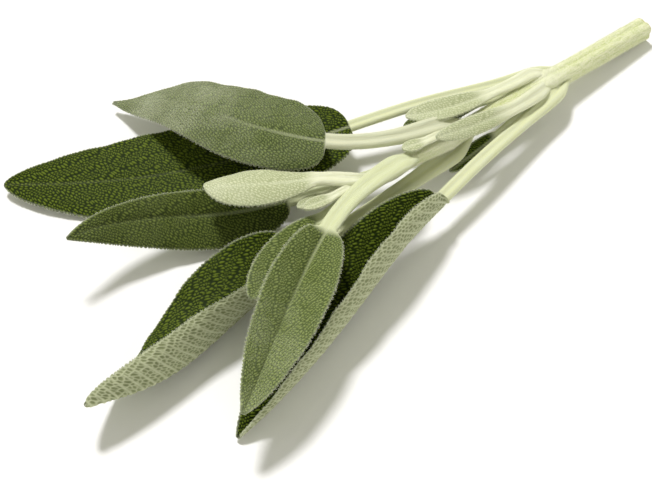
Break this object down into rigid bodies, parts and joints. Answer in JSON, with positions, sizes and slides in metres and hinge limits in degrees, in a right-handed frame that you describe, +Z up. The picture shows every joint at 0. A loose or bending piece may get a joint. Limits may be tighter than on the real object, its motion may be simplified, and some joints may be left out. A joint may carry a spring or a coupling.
{
  "type": "cut sage sprig",
  "caption": "Cut sprig of garden sage lying on its side: a square stem with opposite pairs of long-stalked, grey-green folded leaves and a bud at the tip.",
  "frame": {"origin": "on the surface the sprig lies on, under the middle of its bounding box", "axes": "+X along the stem from the leaves towards the cut end, +Z up from the surface"},
  "size_m": [0.1448, 0.0798, 0.0171],
  "materials": {
    "stem": "downy",
    "old_leaf": "pebbled, with short down",
    "mid_leaf": "velvety",
    "young_leaf": "woolly"
  },
  "bodies": {
    "root": {"stem": "stem", "leaf_1_rear": "old_leaf", "leaf_1_front": "old_leaf", "leaf_2_rear": "mid_leaf", "leaf_2_front": "old_leaf", "leaf_3_rear": "mid_leaf", "leaf_3_front": "mid_leaf", "leaf_4_rear": "young_leaf", "leaf_4_front": "young_leaf", "axil_leaf_1_rear_upper": "young_leaf", "axil_leaf_1_rear_lower": "old_leaf", "axil_leaf_1_front_upper": "young_leaf", "axil_leaf_1_front_lower": "old_leaf", "axil_leaf_2_rear": "young_leaf", "bud_leaf_rear": "young_leaf", "bud_leaf_front": "young_leaf"}
  },
  "joints": []
}
